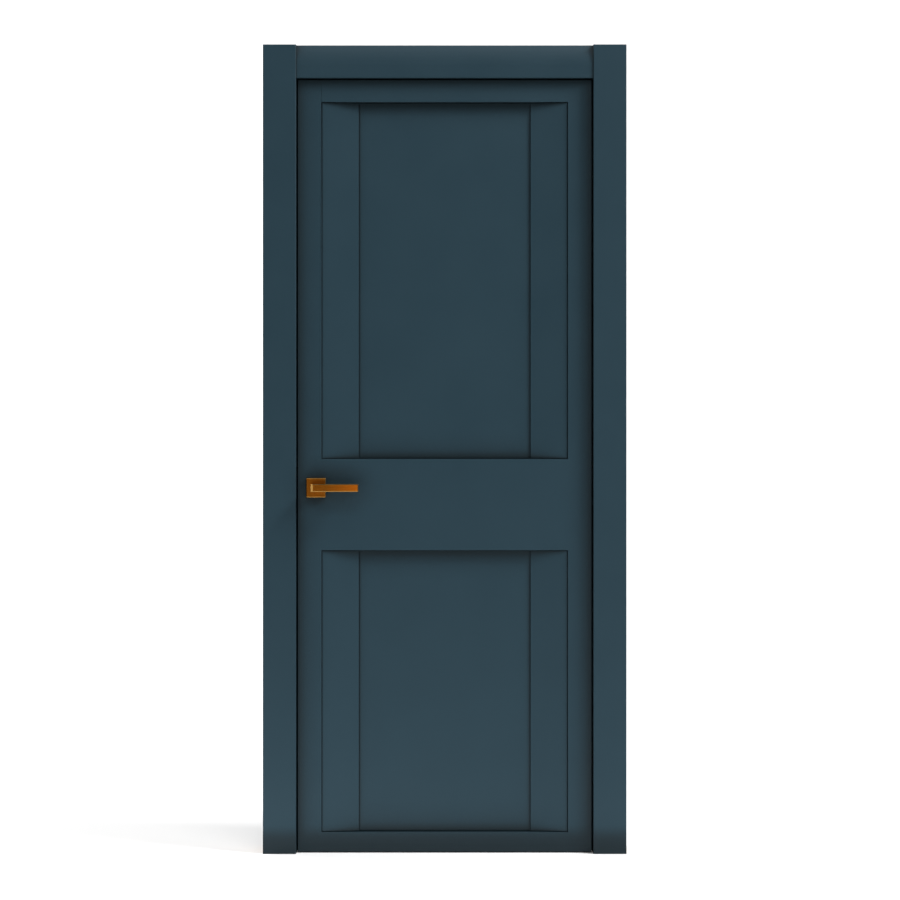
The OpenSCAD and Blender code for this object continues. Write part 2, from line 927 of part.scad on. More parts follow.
// Front lever: the neck and grip stand out towards -Y, and the round collar runs in the rosette
module lever() {
    color(BRONZE) difference() {
        union() {
            translate([handle_x, front_y, handle_z]) mirror([0, 1, 0]) intersection() {
                translate([0, 0, -lever_h / 2]) linear_extrude(lever_h) lever_outline();
                translate([-lever_tail, 0, 0]) along_x() linear_extrude(lever_l) lever_end();
            }
            handle_round(collar_r, front_y - rosette_t - neck_clear - overcut, front_y);
        }
        spindle_bar(spindle_w + 2 * fit, front_y - spindle_reach - fit, front_y + overcut);
        lever_grub(fit);
    }
}

// Grub screw in the underside of the front lever's neck, against the spindle
module lever_grub(clear = 0) {
    top = handle_z - spindle_w / 2 - fit;
    translate([handle_x, front_y - (rosette_t + spindle_reach) / 2, handle_z - lever_h / 2 - clear])
        cylinder(r = grub_r + clear, h = top - handle_z + lever_h / 2 + clear);
}

module lever_grub_screws() {
    color(STEEL) {
        lever_grub();
        leaf_back() lever_grub();
    }
}

module spindle() {
    color(STEEL) spindle_bar(spindle_w, front_y - spindle_reach, back_y + spindle_reach);
}

// Two bolts that clamp the rosette bases through the leaf
module rosette_bolts() {
    color(STEEL) rosette_bolt_set(back_y + base_t);
}

strike_jamb();
hinge_jamb();
head_jamb();
strike_stop();
hinge_stop();
head_stop();
strike_seal();
hinge_seal();
head_seal();
front_strike_casing();
front_hinge_casing();
front_head_casing();
back_strike_casing();
back_hinge_casing();
back_head_casing();
strike_plate();
strike_box();
strike_magnet();
strike_screws();
jamb_hinge(hinge_z0);  // bottom_jamb_hinge
jamb_hinge(hinge_z1);  // middle_jamb_hinge
jamb_hinge(hinge_z2);  // top_jamb_hinge
jamb_hinge_screws();
jamb_corner_screws();
lock_stile();
hinge_stile();
top_rail();
lock_rail();
bottom_rail();
panel(upper_z0, upper_z1);  // upper_panel
panel(lower_z0, lower_z1);  // lower_panel
lock_side() strip(upper_z0, upper_z1);  // front_upper_lock_strip
strip(upper_z0, upper_z1);  // front_upper_hinge_strip
lock_side() strip(lower_z0, lower_z1);  // front_lower_lock_strip
strip(lower_z0, lower_z1);  // front_lower_hinge_strip
leaf_back() lock_side() strip(upper_z0, upper_z1);  // back_upper_lock_strip
leaf_back() strip(upper_z0, upper_z1);  // back_upper_hinge_strip
leaf_back() lock_side() strip(lower_z0, lower_z1);  // back_lower_lock_strip
leaf_back() strip(lower_z0, lower_z1);  // back_lower_hinge_strip
leaf_hinge(hinge_z0);  // bottom_leaf_hinge
leaf_hinge(hinge_z1);  // middle_leaf_hinge
leaf_hinge(hinge_z2);  // top_leaf_hinge
leaf_hinge_screws();
lock_case();
lock_forend();
lock_screws();
latch_bolt();
lock_follower();
rosette_base();  // front_rosette_base
rosette_cover();  // front_rosette_cover
leaf_back() rosette_base();  // back_rosette_base
leaf_back() rosette_cover();  // back_rosette_cover
rosette_bolts();
lever();  // front_lever
leaf_back() lever();  // back_lever
spindle();
lever_grub_screws();
hinge_arms(hinge_z0);  // bottom_hinge_arms
hinge_arms(hinge_z1);  // middle_hinge_arms
hinge_arms(hinge_z2);  // top_hinge_arms
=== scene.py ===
# %% [markdown]
# # A painted door in its frame
# This lesson dresses a panelled interior door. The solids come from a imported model, in metres,
# with the floor at z = 0, the leaf's middle at y = 0 and the hinges on the +x side. The front of
# the door, which a person pulls, looks towards -y. We load the solids, set up a small studio, mix
# the finishes, and remodel the pieces whose edges catch the light.

# %% Load the solids
import json
import math

import bmesh
import bpy
from mathutils import Matrix, Vector

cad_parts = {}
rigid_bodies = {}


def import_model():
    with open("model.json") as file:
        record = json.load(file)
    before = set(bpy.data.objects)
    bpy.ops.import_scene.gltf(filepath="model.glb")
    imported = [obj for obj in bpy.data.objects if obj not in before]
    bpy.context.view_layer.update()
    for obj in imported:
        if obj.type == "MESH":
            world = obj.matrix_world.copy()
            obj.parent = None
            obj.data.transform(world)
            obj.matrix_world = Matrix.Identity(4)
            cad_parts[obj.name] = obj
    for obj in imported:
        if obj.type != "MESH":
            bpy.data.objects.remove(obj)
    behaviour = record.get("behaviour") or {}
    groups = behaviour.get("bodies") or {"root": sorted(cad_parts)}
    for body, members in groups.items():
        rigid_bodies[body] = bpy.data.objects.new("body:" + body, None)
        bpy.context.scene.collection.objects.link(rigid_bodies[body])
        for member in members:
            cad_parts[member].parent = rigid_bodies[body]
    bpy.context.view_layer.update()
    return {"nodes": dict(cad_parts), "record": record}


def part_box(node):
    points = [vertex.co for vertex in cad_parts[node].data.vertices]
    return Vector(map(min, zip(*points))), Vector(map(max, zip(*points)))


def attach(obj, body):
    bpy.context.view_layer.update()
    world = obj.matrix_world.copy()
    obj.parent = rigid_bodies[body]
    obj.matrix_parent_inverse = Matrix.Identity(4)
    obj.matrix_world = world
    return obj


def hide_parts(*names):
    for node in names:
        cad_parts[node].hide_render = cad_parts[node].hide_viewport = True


for left_over in list(bpy.data.objects):
    bpy.data.objects.remove(left_over)
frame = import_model()
nodes = frame["nodes"]
scene = bpy.context.scene

# %% [markdown]
# ## The camera
# The door is seen straight on, with the verticals upright, so the camera is level. It stands five
# metres off, at about breast height and a finger's width to the right of the door's middle.
# A longer lens from farther away would flatten the leaf's set-back, so the distance matters.

# %% Place the camera
CAMERA_PLACE = Vector((0.0144, -5.0464, 1.0961))
SENSOR_MM, LENS_MM = 36.0, 73.85
lens = bpy.data.cameras.new("studio_camera")
lens.sensor_width = SENSOR_MM
lens.lens = LENS_MM
camera = bpy.data.objects.new("studio_camera", lens)
camera.location = CAMERA_PLACE
camera.rotation_euler = (math.pi / 2, 0, 0)
scene.collection.objects.link(camera)
scene.camera = camera
scene.view_settings.view_transform = "Standard"
print("camera", tuple(round(c, 3) for c in camera.location), "lens", lens.lens, "mm")

# %% [markdown]
# ## Colours and nodes
# Paint charts give colours as sRGB hex values, and the shader wants linear light, so one function
# converts them. Another small function adds a node, fills in its settings and links it, which keeps
# each material below short enough to read as a recipe.


# %% Two helpers for every material
def linear(hex_colour):
    """The linear RGBA of an sRGB hex colour such as "2e414b"."""
    parts = [int(hex_colour[i : i + 2], 16) / 255 for i in (0, 2, 4)]
    light = [p / 12.92 if p <= 0.04045 else ((p + 0.055) / 1.055) ** 2.4 for p in parts]
    return (*light, 1.0)


def add(tree, kind, links=None, **settings):
    """A node of this kind. Settings are properties or socket values, and links feed sockets."""
    node = tree.nodes.new(kind)
    for name, value in settings.items():
        if hasattr(node, name):
            setattr(node, name, value)
        else:
            node.inputs[name.replace("_", " ").title()].default_value = value
    for socket, source in (links or {}).items():
        tree.links.new(source, node.inputs[socket])
    return node


def new_material(name):
    """An empty material: its tree, its shader and its Object coordinates."""
    material = bpy.data.materials.new(name)
    material.use_nodes = True
    tree = material.node_tree
    shader = tree.nodes["Principled BSDF"]
    place = tree.nodes.new("ShaderNodeTexCoord").outputs["Object"]
    return material, tree, shader, place


print("linear value of a mid grey:", [round(c, 3) for c in linear("808080")])

# %% [markdown]
# ## The studio
# A white sweep runs under the door and up behind it, so no corner shows. It ends where the light
# does, so that it is as white as the sky beyond it from any side. The key panel stands at the
# upper right and grazes the door's face: it makes the left-hand wedge strips lighter than the
# right-hand ones. A panel high in front softens the shadows under the rails, a low strip lightens
# the door's foot as a bright floor does, and a panel behind keeps the shadow on the floor pale. The
# side panel stands in the door's own plane, where only the handle's edges mirror it. A weak sky
# fills the rest, and the camera sees it white.

# %% Build the sweep and the lights
# In metres
SWEEP_WIDTH, SWEEP_FRONT, SWEEP_BACK = 7.6, -5.2, 6.0
SWEEP_RISE, SWEEP_BEND, BEND_STEPS = 1.6, 3.0, 16
sweep_shape = bmesh.new()
bend_middle = Vector((-SWEEP_WIDTH / 2, SWEEP_BACK - SWEEP_BEND, SWEEP_BEND))
front_edge = sweep_shape.verts.new((-SWEEP_WIDTH / 2, SWEEP_FRONT, 0))
bend_start = sweep_shape.verts.new((-SWEEP_WIDTH / 2, SWEEP_BACK - SWEEP_BEND, 0))
sweep_shape.edges.new((front_edge, bend_start))
curve = bmesh.ops.spin(
    sweep_shape,
    geom=[bend_start],
    cent=bend_middle,
    axis=(1, 0, 0),
    angle=math.pi / 2,
    steps=BEND_STEPS,
)
rise = bmesh.ops.extrude_vert_indiv(sweep_shape, verts=[curve["geom_last"][0]])["verts"]
bmesh.ops.translate(sweep_shape, verts=rise, vec=(0, 0, SWEEP_RISE))
across = bmesh.ops.extrude_edge_only(sweep_shape, edges=sweep_shape.edges[:])["geom"]
across = [part for part in across if isinstance(part, bmesh.types.BMVert)]
bmesh.ops.translate(sweep_shape, verts=across, vec=(SWEEP_WIDTH, 0, 0))
bmesh.ops.recalc_face_normals(sweep_shape, faces=sweep_shape.faces[:])
sweep_mesh = bpy.data.meshes.new("studio_sweep")
sweep_shape.to_mesh(sweep_mesh)
sweep_shape.free()
sweep = bpy.data.objects.new("studio_sweep", sweep_mesh)
scene.collection.objects.link(sweep)
# White paper: no sheen, so the floor stays an even white.
sweep_paper, _, paper_shader, _ = new_material("white_paper")
paper_shader.inputs["Base Color"].default_value = linear("f4f4f4")
paper_shader.inputs["Roughness"].default_value = 0.9
paper_shader.inputs["Specular IOR Level"].default_value = 0.0
sweep_mesh.materials.append(sweep_paper)


def soft_panel(name, place, target, width, depth, watts):
    """A rectangular light of this size in metres, that faces a target."""
    light = bpy.data.lights.new(name, "AREA")
    light.shape = "RECTANGLE"
    light.size, light.size_y = width, depth
    light.energy = watts
    panel = bpy.data.objects.new(name, light)
    panel.location = place
    panel.rotation_euler = (Vector(target) - Vector(place)).to_track_quat("-Z", "Y").to_euler()
    panel.visible_camera = False
    scene.collection.objects.link(panel)
    return panel


# Name, place, target, width and depth in metres, watts
PANELS = [
    ("key_panel", (6.2, -2.1, 7.2), (0, 0, 1.0), 1.8, 1.8, 920),
    ("front_panel", (0.3, -4.4, 8.0), (0, -1.0, 0), 5.0, 4.0, 234),
    ("back_panel", (-5.0, 2.5, 7.0), (-1.2, 0.3, 0), 3.0, 3.0, 510),
    ("foot_panel", (0.0, -0.27, 0.01), (0, -0.07, 1.0), 2.4, 0.1, 1.7),
    ("side_panel", (-4.5, -0.35, 1.0), (0, -0.1, 1.0), 1.0, 1.5, 12),
]
SKY_STRENGTH = 0.2
for panel_row in PANELS:
    soft_panel(*panel_row)
sky = bpy.data.worlds.new("pale_sky")
sky.use_nodes = True
sky_tree = sky.node_tree
seen = add(sky_tree, "ShaderNodeLightPath").outputs["Is Camera Ray"]
strength = add(sky_tree, "ShaderNodeMath", {0: seen}, operation="MAXIMUM")
strength.inputs[1].default_value = SKY_STRENGTH
backdrop = sky_tree.nodes["Background"]
backdrop.inputs["Color"].default_value = linear("ffffff")
sky_tree.links.new(strength.outputs[0], backdrop.inputs["Strength"])
scene.world = sky

# %% [markdown]
# ## The enamel
# The door is satin enamel in a petrol blue, sprayed on wood-fibre board. Sprayed enamel dries with
# a faint orange peel, whose bumps are 2 to 3 mm across, and its shine and colour drift a little
# over a hand's breadth. Inside corners get painted shade: an occlusion node, which feels how
# closed in a place is, mixes a deeper tone into the colour there. The backs of
# the frame's boards are never painted, so there the material changes to bare fibreboard, by place:
# behind the casings and outside the jambs' faces.

# %% Mix the enamel
# The third colour is painted shade, the deeper tone mixed into inside corners.
ENAMEL_DEEP, ENAMEL_PALE, ENAMEL_PAINTED_SHADE = "1a333e", "1f3843", "0f2128"
ENAMEL_SMOOTH, ENAMEL_ROUGH = 0.50, 0.62
# Painted shade: how far the occlusion looks in metres, the openness below which the shade is full,
# and its rays.
PAINTED_SHADE_REACH, PAINTED_SHADE_OPENNESS, PAINTED_SHADE_RAYS = 0.08, 0.84, 8
BARE_DARK, BARE_PALE = "9c7c58", "b89770"
PEEL_MM, DRIFT_MM, FIBRE_MM = 2.6, 160.0, 1.5
PEEL_STRENGTH, PEEL_HEIGHT = 0.06, 0.0004


def enamel_coat_with_painted_shade(tree, place, shader):
    """Colour with painted shade in inside corners, shine and orange peel of the enamel. Returns the
    colour and the bump.
    """
    drift = add(tree, "ShaderNodeTexNoise", {"Vector": place}, scale=1000 / DRIFT_MM, detail=3.0)
    colour = add(tree, "ShaderNodeMix", {"Factor": drift.outputs["Fac"]}, data_type="RGBA")
    colour.inputs["A"].default_value = linear(ENAMEL_DEEP)
    colour.inputs["B"].default_value = linear(ENAMEL_PALE)
    # Painted shade: where the occlusion node finds a place closed in, the colour is mixed towards
    # the deeper tone.
    shade_occlusion = add(
        tree, "ShaderNodeAmbientOcclusion", samples=PAINTED_SHADE_RAYS, distance=PAINTED_SHADE_REACH
    )
    unshaded_share = add(
        tree, "ShaderNodeMapRange", {"Value": shade_occlusion.outputs["AO"]}, from_min=PAINTED_SHADE_OPENNESS
    )
    colour = add(
        tree,
        "ShaderNodeMix",
        {"Factor": unshaded_share.outputs["Result"], "B": colour.outputs["Result"]},
        data_type="RGBA",
    )
    colour.inputs["A"].default_value = linear(ENAMEL_PAINTED_SHADE)
    shine = add(
        tree,
        "ShaderNodeMapRange",
        {"Value": drift.outputs["Fac"]},
        to_min=ENAMEL_SMOOTH,
        to_max=ENAMEL_ROUGH,
    )
    tree.links.new(shine.outputs["Result"], shader.inputs["Roughness"])
    peel = add(tree, "ShaderNodeTexNoise", {"Vector": place}, scale=1000 / PEEL_MM, detail=1.0)
    bump = add(
        tree,
        "ShaderNodeBump",
        {"Height": peel.outputs["Fac"]},
        strength=PEEL_STRENGTH,
        distance=PEEL_HEIGHT,
    )
    shader.inputs["IOR"].default_value = 1.5
    shader.inputs["Specular IOR Level"].default_value = 0.25
    return colour, bump


# Satin enamel: a deep blue with a broad, weak sheen, and painted shade in its inside corners.
enamel, tree, shader, place = new_material("satin_enamel")
colour, bump = enamel_coat_with_painted_shade(tree, place, shader)
tree.links.new(colour.outputs["Result"], shader.inputs["Base Color"])
tree.links.new(bump.outputs["Normal"], shader.inputs["Normal"])

# The same enamel, which gives way to dull brown fibreboard on the backs.
enamel_frame, tree, shader, place = new_material("satin_enamel_on_bare_board")
colour, bump = enamel_coat_with_painted_shade(tree, place, shader)
axes = add(tree, "ShaderNodeSeparateXYZ", {"Vector": place})
FRAME_MIDDLE_Y = (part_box("hinge_jamb")[0].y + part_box("hinge_jamb")[1].y) / 2
HALF_DEPTH = (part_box("hinge_jamb")[1].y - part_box("hinge_jamb")[0].y) / 2
JAMB_FACE_X, JAMB_FACE_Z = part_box("hinge_jamb")[0].x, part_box("head_jamb")[0].z
SKIN = 0.0002
off_middle = add(tree, "ShaderNodeMath", {0: axes.outputs["Y"]}, operation="SUBTRACT")
off_middle.inputs[1].default_value = FRAME_MIDDLE_Y
depth = add(tree, "ShaderNodeMath", {0: off_middle.outputs[0]}, operation="ABSOLUTE")
inside = add(tree, "ShaderNodeMath", {0: depth.outputs[0]}, operation="LESS_THAN")
inside.inputs[1].default_value = HALF_DEPTH + SKIN
sideways = add(tree, "ShaderNodeMath", {0: axes.outputs["X"]}, operation="ABSOLUTE")
beside = add(tree, "ShaderNodeMath", {0: sideways.outputs[0]}, operation="GREATER_THAN")
beside.inputs[1].default_value = JAMB_FACE_X + SKIN
above = add(tree, "ShaderNodeMath", {0: axes.outputs["Z"]}, operation="GREATER_THAN")
above.inputs[1].default_value = JAMB_FACE_Z + SKIN
around = add(
    tree, "ShaderNodeMath", {0: beside.outputs[0], 1: above.outputs[0]}, operation="MAXIMUM"
)
bare = add(
    tree, "ShaderNodeMath", {0: inside.outputs[0], 1: around.outputs[0]}, operation="MULTIPLY"
)
fibres = add(tree, "ShaderNodeTexNoise", {"Vector": place}, scale=1000 / FIBRE_MM, detail=4.0)
board = add(tree, "ShaderNodeMix", {"Factor": fibres.outputs["Fac"]}, data_type="RGBA")
board.inputs["A"].default_value = linear(BARE_DARK)
board.inputs["B"].default_value = linear(BARE_PALE)
either = add(tree, "ShaderNodeMix", {"Factor": bare.outputs[0]}, data_type="RGBA")
tree.links.new(colour.outputs["Result"], either.inputs["A"])
tree.links.new(board.outputs["Result"], either.inputs["B"])
tree.links.new(either.outputs["Result"], shader.inputs["Base Color"])
tree.links.new(bump.outputs["Normal"], shader.inputs["Normal"])
print("bare board up to", round(HALF_DEPTH * 1000, 1), "mm either side of the frame's middle")

# %% [markdown]
# ## The metals
# The handle is bronze, brushed lengthwise and then lacquered, so fine scratches run along x and
# draw out the highlights. The bronze is painted brighter towards the lever's free end, a painted
# highlight, and its edges are painted a paler gold, a painted highlight where an edge turns. The
# forend and the strike plate have a dark patina and the hinges are blackened, so neither shines out
# of the gap. The lock's insides are bright zinc. Real scratches are a tenth of a
# millimetre wide. They are drawn coarser here, so that they still show in a picture.

# %% Mix the metals
SCRATCH_MM, SCRATCH_LENGTH_MM, SCRATCH_DEPTH = 0.7, 45.0, 0.0002
# The painted highlight at the lever's free end: a brighter bronze, and the length in metres it
# blends over.
END_HIGHLIGHT_BRONZE, END_HIGHLIGHT_LENGTH = "e87d1e", 0.085
ALONG_X, ALONG_Z = 0, 2


def brushed_metal(name, dark, pale, smooth, rough, along, strength):
    """A metal with scratches along one axis, whose colour and shine follow them.

    Smooth and rough are the ends of its roughness, and strength is that of the scratches' bump.
    """
    material, tree, shader, place = new_material(name)
    stretch = add(tree, "ShaderNodeMapping", {"Vector": place})
    scale = [1000 / SCRATCH_MM] * 3
    scale[along] = 1000 / SCRATCH_LENGTH_MM
    stretch.inputs["Scale"].default_value = scale
    scratches = add(
        tree, "ShaderNodeTexNoise", {"Vector": stretch.outputs["Vector"]}, scale=1.0, detail=3.0
    )
    colour = add(tree, "ShaderNodeMix", {"Factor": scratches.outputs["Fac"]}, data_type="RGBA")
    colour.inputs["A"].default_value = linear(dark)
    colour.inputs["B"].default_value = linear(pale)
    shine = add(
        tree,
        "ShaderNodeMapRange",
        {"Value": scratches.outputs["Fac"]},
        to_min=smooth,
        to_max=rough,
    )
    bump = add(
        tree,
        "ShaderNodeBump",
        {"Height": scratches.outputs["Fac"]},
        strength=strength,
        distance=SCRATCH_DEPTH,
    )
    tree.links.new(colour.outputs["Result"], shader.inputs["Base Color"])
    tree.links.new(shine.outputs["Result"], shader.inputs["Roughness"])
    tree.links.new(bump.outputs["Normal"], shader.inputs["Normal"])
    shader.inputs["Metallic"].default_value = 1.0
    return material


# Brushed bronze: warm and half bright, with a painted highlight towards the lever's end.
bronze = brushed_metal("brushed_bronze", "9a5914", "b46b20", 0.26, 0.40, ALONG_X, 0.12)
tree, shader = bronze.node_tree, bronze.node_tree.nodes["Principled BSDF"]
place = tree.nodes["Texture Coordinate"].outputs["Object"]
axes = add(tree, "ShaderNodeSeparateXYZ", {"Vector": place})
# Painted highlight: towards the lever's free end the colour blends to a brighter bronze.
lever_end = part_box("front_lever")[1].x
end_highlight = add(
    tree,
    "ShaderNodeMapRange",
    {"Value": axes.outputs["X"]},
    from_min=lever_end - END_HIGHLIGHT_LENGTH,
    from_max=lever_end,
)
brushed = shader.inputs["Base Color"].links[0].from_socket
tone = add(
    tree, "ShaderNodeMix", {"Factor": end_highlight.outputs["Result"], "A": brushed}, data_type="RGBA"
)
tone.inputs["B"].default_value = linear(END_HIGHLIGHT_BRONZE)
tree.links.new(tone.outputs["Result"], shader.inputs["Base Color"])
# Painted highlight: a thin pale line of bronze where an edge turns.
bronze_edge_highlight = brushed_metal("edge_highlight_bronze", "a27a3c", "b58b4c", 0.20, 0.30, ALONG_X, 0.05)
# Dark patinated bronze: brown-black, with a dull gleam.
bronze_dark = brushed_metal(
    "dark_patinated_bronze", "33241a", "463122", 0.34, 0.48, ALONG_Z, 0.10
)
# Blackened steel: so dark that a hinge belongs to the gap.
hinge_black = brushed_metal("blackened_steel", "1b1a19", "2a2826", 0.38, 0.52, ALONG_Z, 0.08)
# Bright zinc: cool and light, the one bright spot in the lock's edge.
zinc = brushed_metal("bright_zinc", "9da3a8", "bcc2c6", 0.28, 0.46, ALONG_Z, 0.10)
print("metals:", [m.name for m in (bronze, bronze_edge_highlight, bronze_dark, hinge_black, zinc)])

# %% [markdown]
# ## Rubber and plastic
# The seals are extruded rubber, matt black with faint lines along their length. The strike box is
# moulded plastic with a fine spark-eroded grain.

# %% Mix the rubber and the plastic
RUBBER_GRAIN_MM, PLASTIC_GRAIN_MM = 1.2, 0.8
GRAIN_STRENGTH, GRAIN_DEPTH = 0.2, 0.0002


def dull_polymer(name, dark, pale, grain_mm, roughness):
    """A dark rubber or plastic with a fine grain."""
    material, tree, shader, place = new_material(name)
    grain = add(tree, "ShaderNodeTexNoise", {"Vector": place}, scale=1000 / grain_mm, detail=2.0)
    colour = add(tree, "ShaderNodeMix", {"Factor": grain.outputs["Fac"]}, data_type="RGBA")
    colour.inputs["A"].default_value = linear(dark)
    colour.inputs["B"].default_value = linear(pale)
    bump = add(
        tree,
        "ShaderNodeBump",
        {"Height": grain.outputs["Fac"]},
        strength=GRAIN_STRENGTH,
        distance=GRAIN_DEPTH,
    )
    tree.links.new(colour.outputs["Result"], shader.inputs["Base Color"])
    tree.links.new(bump.outputs["Normal"], shader.inputs["Normal"])
    shader.inputs["Roughness"].default_value = roughness
    return material


# Extruded rubber: matt black, without a highlight.
rubber = dull_polymer("extruded_rubber", "131516", "1d2021", RUBBER_GRAIN_MM, 0.7)
# Moulded plastic: black with an even, dull sheen.
plastic = dull_polymer("moulded_plastic", "1a1b1c", "252627", PLASTIC_GRAIN_MM, 0.55)
print("polymers:", rubber.name, plastic.name)

# %% [markdown]
# ## From solid to piece
# A imported node is a set of loose triangles. To soften its edges we copy it, weld the triangles,
# dissolve the flat ones into whole faces, and bevel only the edges that are sharp. The copy then
# stands for the node, and rides on the same body. It may have a second finish for the faces that
# turn between its front and its sides, a paler colour that paints a highlight on the edge. A
# modifier weights the normals by face area, so a flat face stays flat right up to its bevel.


# %% Helpers that copy, soften and hang a piece
# A face gets the painted highlight of an edge if its normal's y lies between these
HIGHLIGHT_TURN_LEAST, HIGHLIGHT_TURN_MOST = 0.3, 0.96
# In metres: points this close are welded, or count as being in one plane
WELD_REACH, SAME_PLACE = 1e-6, 1e-5
FLAT_DEGREES, FACE_WEIGHT = 0.5, 90


def welded_copy(mesh):
    """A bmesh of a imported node, with its triangles welded and its flat faces whole."""
    shape = bmesh.new()
    shape.from_mesh(mesh)
    bmesh.ops.remove_doubles(shape, verts=shape.verts[:], dist=WELD_REACH)
    bmesh.ops.dissolve_limit(
        shape,
        angle_limit=math.radians(FLAT_DEGREES),
        verts=shape.verts[:],
        edges=shape.edges[:],
    )
    return shape


def soften(shape, edges, width, segments=2):
    """Rounds these edges of a bmesh by a width in metres."""
    bmesh.ops.bevel(
        shape,
        geom=edges,
        offset=width,
        offset_type="OFFSET",
        segments=segments,
        profile=0.5,
        affect="EDGES",
        clamp_overlap=True,
        material=-1,
    )


def sharp_edges(shape, least_angle=40):
    """The edges where two faces meet at more than this angle, in degrees."""
    return [
        e
        for e in shape.edges
        if len(e.link_faces) == 2 and e.calc_face_angle() > math.radians(least_angle)
    ]


def hang(shape, name, body, material, stands_for, smooth_angle=35, edge_highlight_material=None):
    """Makes a bmesh a piece that rides on a body and stands for some nodes."""
    mesh = bpy.data.meshes.new(name)
    shape.to_mesh(mesh)
    shape.free()
    if "custom_normal" in mesh.attributes:
        mesh.attributes.remove(mesh.attributes["custom_normal"])
    mesh.materials.clear()
    mesh.materials.append(material)
    if edge_highlight_material:
        mesh.materials.append(edge_highlight_material)
    for face in mesh.polygons:
        face.use_smooth = True
        # Faces that turn between front and sides get the painted highlight finish.
        on_highlight_edge = HIGHLIGHT_TURN_LEAST < abs(face.normal.y) < HIGHLIGHT_TURN_MOST
        face.material_index = 1 if edge_highlight_material and on_highlight_edge else 0
    mesh.set_sharp_from_angle(angle=math.radians(smooth_angle))
    piece = bpy.data.objects.new(name, mesh)
    scene.collection.objects.link(piece)
    flat_faces = piece.modifiers.new("flat_faces_stay_flat", "WEIGHTED_NORMAL")
    flat_faces.weight = FACE_WEIGHT
    flat_faces.keep_sharp = True
    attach(piece, body)
    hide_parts(*stands_for)
    return piece


print("helpers ready")

# %% [markdown]
# ## The leaf's frame
# Two stiles and three rails are glued, filled and sprayed, so no joint shows: the eye sees one
# board with two openings. A Boolean union makes them one, and then the edges of the front and back
# faces lose about a millimetre, as a sanded and painted edge does. The edges of the hinge and lock
# recesses stay crisp, because the plates sit flush in them.

# %% Join and soften the leaf's frame
LEAF_BOARDS = ["lock_stile", "hinge_stile", "top_rail", "lock_rail", "bottom_rail"]
LEAF_ARRIS = 0.0011
boards = []
for board_name in LEAF_BOARDS:
    board_shape = welded_copy(nodes[board_name].data)
    board_mesh = bpy.data.meshes.new(board_name + "_board")
    board_shape.to_mesh(board_mesh)
    board_shape.free()
    boards.append(bpy.data.objects.new(board_name + "_board", board_mesh))
    scene.collection.objects.link(boards[-1])
for other in boards[1:]:
    union = boards[0].modifiers.new("glue_" + other.name, "BOOLEAN")
    union.operation = "UNION"
    union.solver = "EXACT"
    union.object = other
bpy.context.view_layer.update()
glued = boards[0].evaluated_get(bpy.context.evaluated_depsgraph_get())
leaf_mesh = bpy.data.meshes.new_from_object(glued)
leaf_shape = welded_copy(leaf_mesh)
for board_object in boards:
    bpy.data.objects.remove(board_object)
leaf_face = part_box("hinge_stile")[1].y
spindle_low, spindle_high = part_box("spindle")
spindle_middle = (spindle_low + spindle_high) / 2
UNDER_ROSETTE = 0.03


def is_leaf_arris(edge):
    """Is this edge on the leaf's front or back face, and clear of the rosette?"""
    for v in edge.verts:
        from_spindle = math.hypot(v.co.x - spindle_middle.x, v.co.z - spindle_middle.z)
        if abs(abs(v.co.y) - leaf_face) > SAME_PLACE or from_spindle < UNDER_ROSETTE:
            return False
    return True


arrises = [e for e in sharp_edges(leaf_shape, least_angle=60) if is_leaf_arris(e)]
soften(leaf_shape, arrises, LEAF_ARRIS, segments=3)
leaf_frame = hang(leaf_shape, "leaf_frame", "leaf", enamel, LEAF_BOARDS)
print("leaf frame:", len(arrises), "arrises softened,", len(leaf_frame.data.polygons), "faces")

# %% [markdown]
# ## The wedge strips
# Each opening has a wedge strip along either side, thick at the stile and thin at the panel. On the
# real door a fine dark line runs round each strip: it stops short of the stile and the rails by the
# width of a saw cut, and its edges are eased before it is painted. So the solid strip is narrowed
# from its outer side and shortened at both ends, and then its edges are bevelled.

# %% Cut the strips short and ease their edges
STRIP_ARRIS, STRIP_QUIRK = 0.0007, 0.0014
STRIPS = [n for n in nodes if n.endswith("_strip")]
for strip_name in STRIPS:
    strip_shape = welded_copy(nodes[strip_name].data)
    low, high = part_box(strip_name)
    outer = high.x if high.x > 0 else low.x
    for v in strip_shape.verts:
        if abs(v.co.x - outer) < SAME_PLACE:
            v.co.x -= math.copysign(STRIP_QUIRK, outer)
        v.co.z += STRIP_QUIRK if v.co.z < (low.z + high.z) / 2 else -STRIP_QUIRK
    soften(strip_shape, sharp_edges(strip_shape), STRIP_ARRIS)
    hang(strip_shape, strip_name + "_eased", "leaf", enamel, [strip_name])
print("strips eased:", len(STRIPS))

# %% [markdown]
# ## The panels
# A narrow groove is run round the flat field of each panel, close to the strips and the rails, and
# it reads as a dark line. The panel is cut along the strips' inner edges and the rails, the field
# between them is inset by the groove's width, and the ring that this leaves is pushed in.

